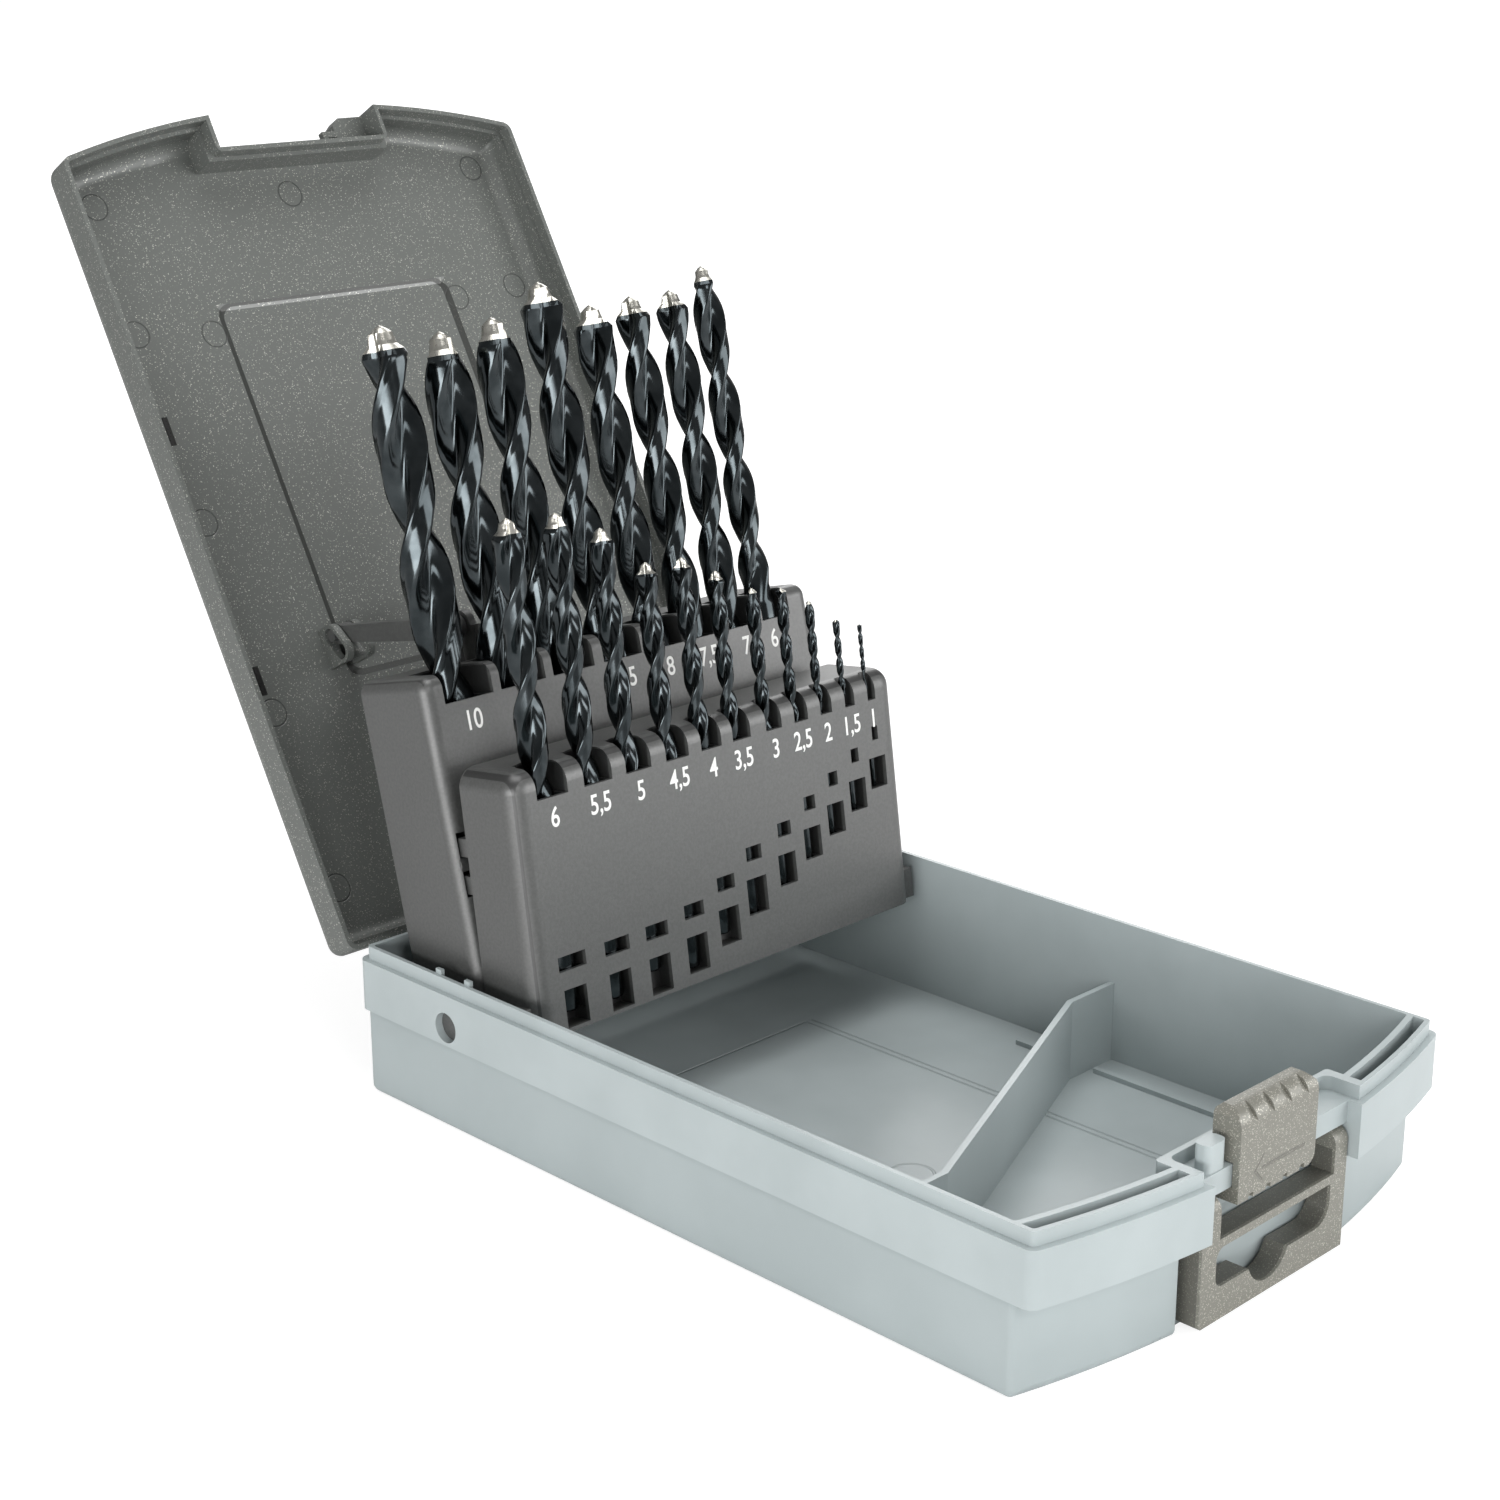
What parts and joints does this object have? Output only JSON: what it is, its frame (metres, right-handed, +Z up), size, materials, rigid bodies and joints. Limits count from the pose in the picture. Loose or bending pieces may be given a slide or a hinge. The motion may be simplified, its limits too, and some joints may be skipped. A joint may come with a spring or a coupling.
{
  "type": "drill bit case",
  "caption": "Hinged plastic case with two folding racks that rise with the lid and hold graded twist drills, a sliding latch and a swing-out hanging flap.",
  "frame": {"origin": "centre of the tray's underside, on the line midway between its straight side walls' ends", "axes": "+X to the right seen from the latch, +Y from the latch to the lid hinge, +Z up; the lid and racks stand open"},
  "size_m": [0.116, 0.272, 0.1812],
  "materials": {
    "tray_plastic": "pale blue-grey moulded plastic",
    "lid_plastic": "dark grey plastic with fine metallic fleck",
    "rack_plastic": "satin black moulded plastic",
    "latch_plastic": "warm grey plastic with fine metallic fleck",
    "drill_steel": "black oxide, ground tip"
  },
  "bodies": {
    "tray": {"tray": "tray_plastic"},
    "lid": {"lid": "lid_plastic"},
    "front_rack": {"front_rack": "rack_plastic"},
    "rear_rack": {"rear_rack": "rack_plastic"},
    "lid_strut": {"lid_strut": "rack_plastic"},
    "latch_slider": {"latch_slider": "latch_plastic"},
    "hanger_flap": {"hanger_flap": "latch_plastic"},
    "drill_10_0mm": {"drill_10_0mm": "drill_steel"},
    "drill_09_5mm": {"drill_09_5mm": "drill_steel"},
    "drill_09_0mm": {"drill_09_0mm": "drill_steel"},
    "drill_08_5mm": {"drill_08_5mm": "drill_steel"},
    "drill_08_0mm": {"drill_08_0mm": "drill_steel"},
    "drill_07_5mm": {"drill_07_5mm": "drill_steel"},
    "drill_07_0mm": {"drill_07_0mm": "drill_steel"},
    "drill_06_5mm": {"drill_06_5mm": "drill_steel"},
    "drill_06_0mm": {"drill_06_0mm": "drill_steel"},
    "drill_05_5mm": {"drill_05_5mm": "drill_steel"},
    "drill_05_0mm": {"drill_05_0mm": "drill_steel"},
    "drill_04_5mm": {"drill_04_5mm": "drill_steel"},
    "drill_04_0mm": {"drill_04_0mm": "drill_steel"},
    "drill_03_5mm": {"drill_03_5mm": "drill_steel"},
    "drill_03_0mm": {"drill_03_0mm": "drill_steel"},
    "drill_02_5mm": {"drill_02_5mm": "drill_steel"},
    "drill_02_0mm": {"drill_02_0mm": "drill_steel"},
    "drill_01_5mm": {"drill_01_5mm": "drill_steel"},
    "drill_01_0mm": {"drill_01_0mm": "drill_steel"}
  },
  "joints": [
    {"name": "lid_hinge", "type": "hinge", "parent": "tray", "child": "lid", "pos_m": [0, 0.0852, 0.0281], "axis": [-1, 0, 0], "range_deg": [-119.6, 0]},
    {"name": "rear_rack_hinge", "type": "hinge", "parent": "tray", "child": "rear_rack", "pos_m": [0, 0.05745, 0.0217], "axis": [-1, 0, 0], "range_deg": [-104, 0]},
    {"name": "front_rack_hinge", "type": "hinge", "parent": "tray", "child": "front_rack", "pos_m": [0, 0.05745, 0.0217], "axis": [-1, 0, 0], "range_deg": [-97.94, 0]},
    {"name": "lid_strut_hinge", "type": "hinge", "parent": "rear_rack", "child": "lid_strut", "pos_m": [-0.03, 0.08586, 0.08893], "axis": [-1, 0, 0], "range_deg": [0, 89.76]},
    {"name": "latch_slide", "type": "slide", "parent": "tray", "child": "latch_slider", "axis": [1, 0, 0], "range_m": [0, 0.0034]},
    {"name": "hanger_hinge", "type": "hinge", "parent": "tray", "child": "hanger_flap", "pos_m": [0, -0.0867, 0.0213], "axis": [-1, 0, 0], "range_deg": [0, 90]},
    {"name": "drill_06_0mm_slide", "type": "slide", "parent": "front_rack", "child": "drill_06_0mm", "axis": [0, 0.1381, 0.9904], "range_m": [0, 0.0513]},
    {"name": "drill_05_5mm_slide", "type": "slide", "parent": "front_rack", "child": "drill_05_5mm", "axis": [0, 0.1381, 0.9904], "range_m": [0, 0.0521]},
    {"name": "drill_05_0mm_slide", "type": "slide", "parent": "front_rack", "child": "drill_05_0mm", "axis": [0, 0.1381, 0.9904], "range_m": [0, 0.0496]},
    {"name": "drill_04_5mm_slide", "type": "slide", "parent": "front_rack", "child": "drill_04_5mm", "axis": [0, 0.1381, 0.9904], "range_m": [0, 0.0518]},
    {"name": "drill_04_0mm_slide", "type": "slide", "parent": "front_rack", "child": "drill_04_0mm", "axis": [0, 0.1381, 0.9904], "range_m": [0, 0.0474]},
    {"name": "drill_03_5mm_slide", "type": "slide", "parent": "front_rack", "child": "drill_03_5mm", "axis": [0, 0.1381, 0.9904], "range_m": [0, 0.0465]},
    {"name": "drill_03_0mm_slide", "type": "slide", "parent": "front_rack", "child": "drill_03_0mm", "axis": [0, 0.1381, 0.9904], "range_m": [0, 0.0425]},
    {"name": "drill_02_5mm_slide", "type": "slide", "parent": "front_rack", "child": "drill_02_5mm", "axis": [0, 0.1381, 0.9904], "range_m": [0, 0.0399]},
    {"name": "drill_02_0mm_slide", "type": "slide", "parent": "front_rack", "child": "drill_02_0mm", "axis": [0, 0.1381, 0.9904], "range_m": [0, 0.0358]},
    {"name": "drill_01_5mm_slide", "type": "slide", "parent": "front_rack", "child": "drill_01_5mm", "axis": [0, 0.1381, 0.9904], "range_m": [0, 0.0319]},
    {"name": "drill_01_0mm_slide", "type": "slide", "parent": "front_rack", "child": "drill_01_0mm", "axis": [0, 0.1381, 0.9904], "range_m": [0, 0.0281]},
    {"name": "drill_10_0mm_slide", "type": "slide", "parent": "rear_rack", "child": "drill_10_0mm", "axis": [0, 0.2419, 0.9703], "range_m": [0, 0.0715]},
    {"name": "drill_09_5mm_slide", "type": "slide", "parent": "rear_rack", "child": "drill_09_5mm", "axis": [0, 0.2419, 0.9703], "range_m": [0, 0.0662]},
    {"name": "drill_09_0mm_slide", "type": "slide", "parent": "rear_rack", "child": "drill_09_0mm", "axis": [0, 0.2419, 0.9703], "range_m": [0, 0.065]},
    {"name": "drill_08_5mm_slide", "type": "slide", "parent": "rear_rack", "child": "drill_08_5mm", "axis": [0, 0.2419, 0.9703], "range_m": [0, 0.0515]},
    {"name": "drill_08_0mm_slide", "type": "slide", "parent": "rear_rack", "child": "drill_08_0mm", "axis": [0, 0.2419, 0.9703], "range_m": [0, 0.0573]},
    {"name": "drill_07_5mm_slide", "type": "slide", "parent": "rear_rack", "child": "drill_07_5mm", "axis": [0, 0.2419, 0.9703], "range_m": [0, 0.0487]},
    {"name": "drill_07_0mm_slide", "type": "slide", "parent": "rear_rack", "child": "drill_07_0mm", "axis": [0, 0.2419, 0.9703], "range_m": [0, 0.0486]},
    {"name": "drill_06_5mm_slide", "type": "slide", "parent": "rear_rack", "child": "drill_06_5mm", "axis": [0, 0.2419, 0.9703], "range_m": [0, 0.0367]}
  ],
  "couplings": [
    {"joint": "rear_rack_hinge", "follows": "lid_hinge", "ratio": 0.86957},
    {"joint": "front_rack_hinge", "follows": "lid_hinge", "ratio": 0.8189},
    {"joint": "lid_strut_hinge", "follows": "lid_hinge", "ratio": -0.7505}
  ]
}
